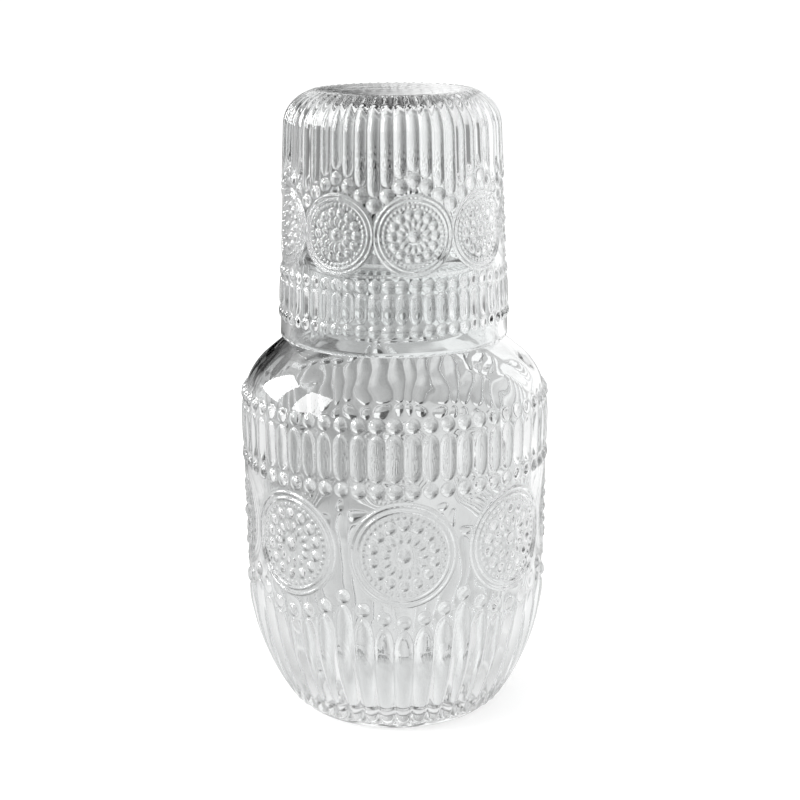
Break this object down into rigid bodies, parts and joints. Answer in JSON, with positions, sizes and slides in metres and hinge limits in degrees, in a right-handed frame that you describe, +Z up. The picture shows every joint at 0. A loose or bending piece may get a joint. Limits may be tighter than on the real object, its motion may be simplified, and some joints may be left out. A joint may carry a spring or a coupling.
{
  "type": "glass carafe with tumbler",
  "caption": "Pressed-glass bedside carafe with a rounded fluted body and a short neck, and a tumbler upside down over the neck as its lid.",
  "frame": {"origin": "centre of the carafe's foot, on the table", "axes": "+Z up along the common axis of the carafe and the tumbler; -Y faces the camera of the picture"},
  "size_m": [0.1072, 0.1072, 0.2163],
  "materials": {
    "carafe_glass": "clear pressed soda-lime glass, fire polished",
    "tumbler_glass": "clear pressed soda-lime glass, fire polished"
  },
  "bodies": {
    "carafe": {"carafe": "carafe_glass"},
    "tumbler": {"tumbler": "tumbler_glass"}
  },
  "joints": [
    {"name": "tumbler_lift", "type": "slide", "parent": "carafe", "child": "tumbler", "axis": [0, 0, 1], "range_m": [0, 0.06]}
  ]
}
